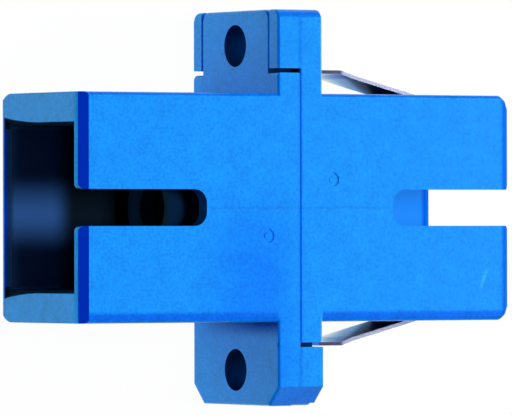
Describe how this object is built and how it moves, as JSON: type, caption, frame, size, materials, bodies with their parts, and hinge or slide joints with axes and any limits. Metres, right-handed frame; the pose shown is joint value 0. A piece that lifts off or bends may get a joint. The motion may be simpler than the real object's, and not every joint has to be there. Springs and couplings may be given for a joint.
{
  "type": "sc fibre adapter",
  "caption": "Simplex panel adapter with an open receptacle at each end, keyways on one face, a two-eared flange with screw holes and sprung wings behind it.",
  "frame": {"origin": "middle of the alignment sleeve, on the parting plane of the two housing halves", "axes": "+X along the plugs towards the rear mouth, Y across the two flange ears, +Z out of the keyway face"},
  "size_m": [0.0284, 0.0222, 0.0094],
  "materials": {
    "housing_plastic": "moulded, fine satin, polished bevels",
    "insert_plastic": "moulded, matt",
    "sleeve_ceramic": "ground zirconia",
    "spring_steel": "bright rolled strip"
  },
  "bodies": {
    "root": {"front_housing": "housing_plastic", "rear_housing": "housing_plastic", "front_latch_insert": "insert_plastic", "rear_latch_insert": "insert_plastic", "split_sleeve": "sleeve_ceramic", "panel_clip": "spring_steel"}
  },
  "joints": []
}
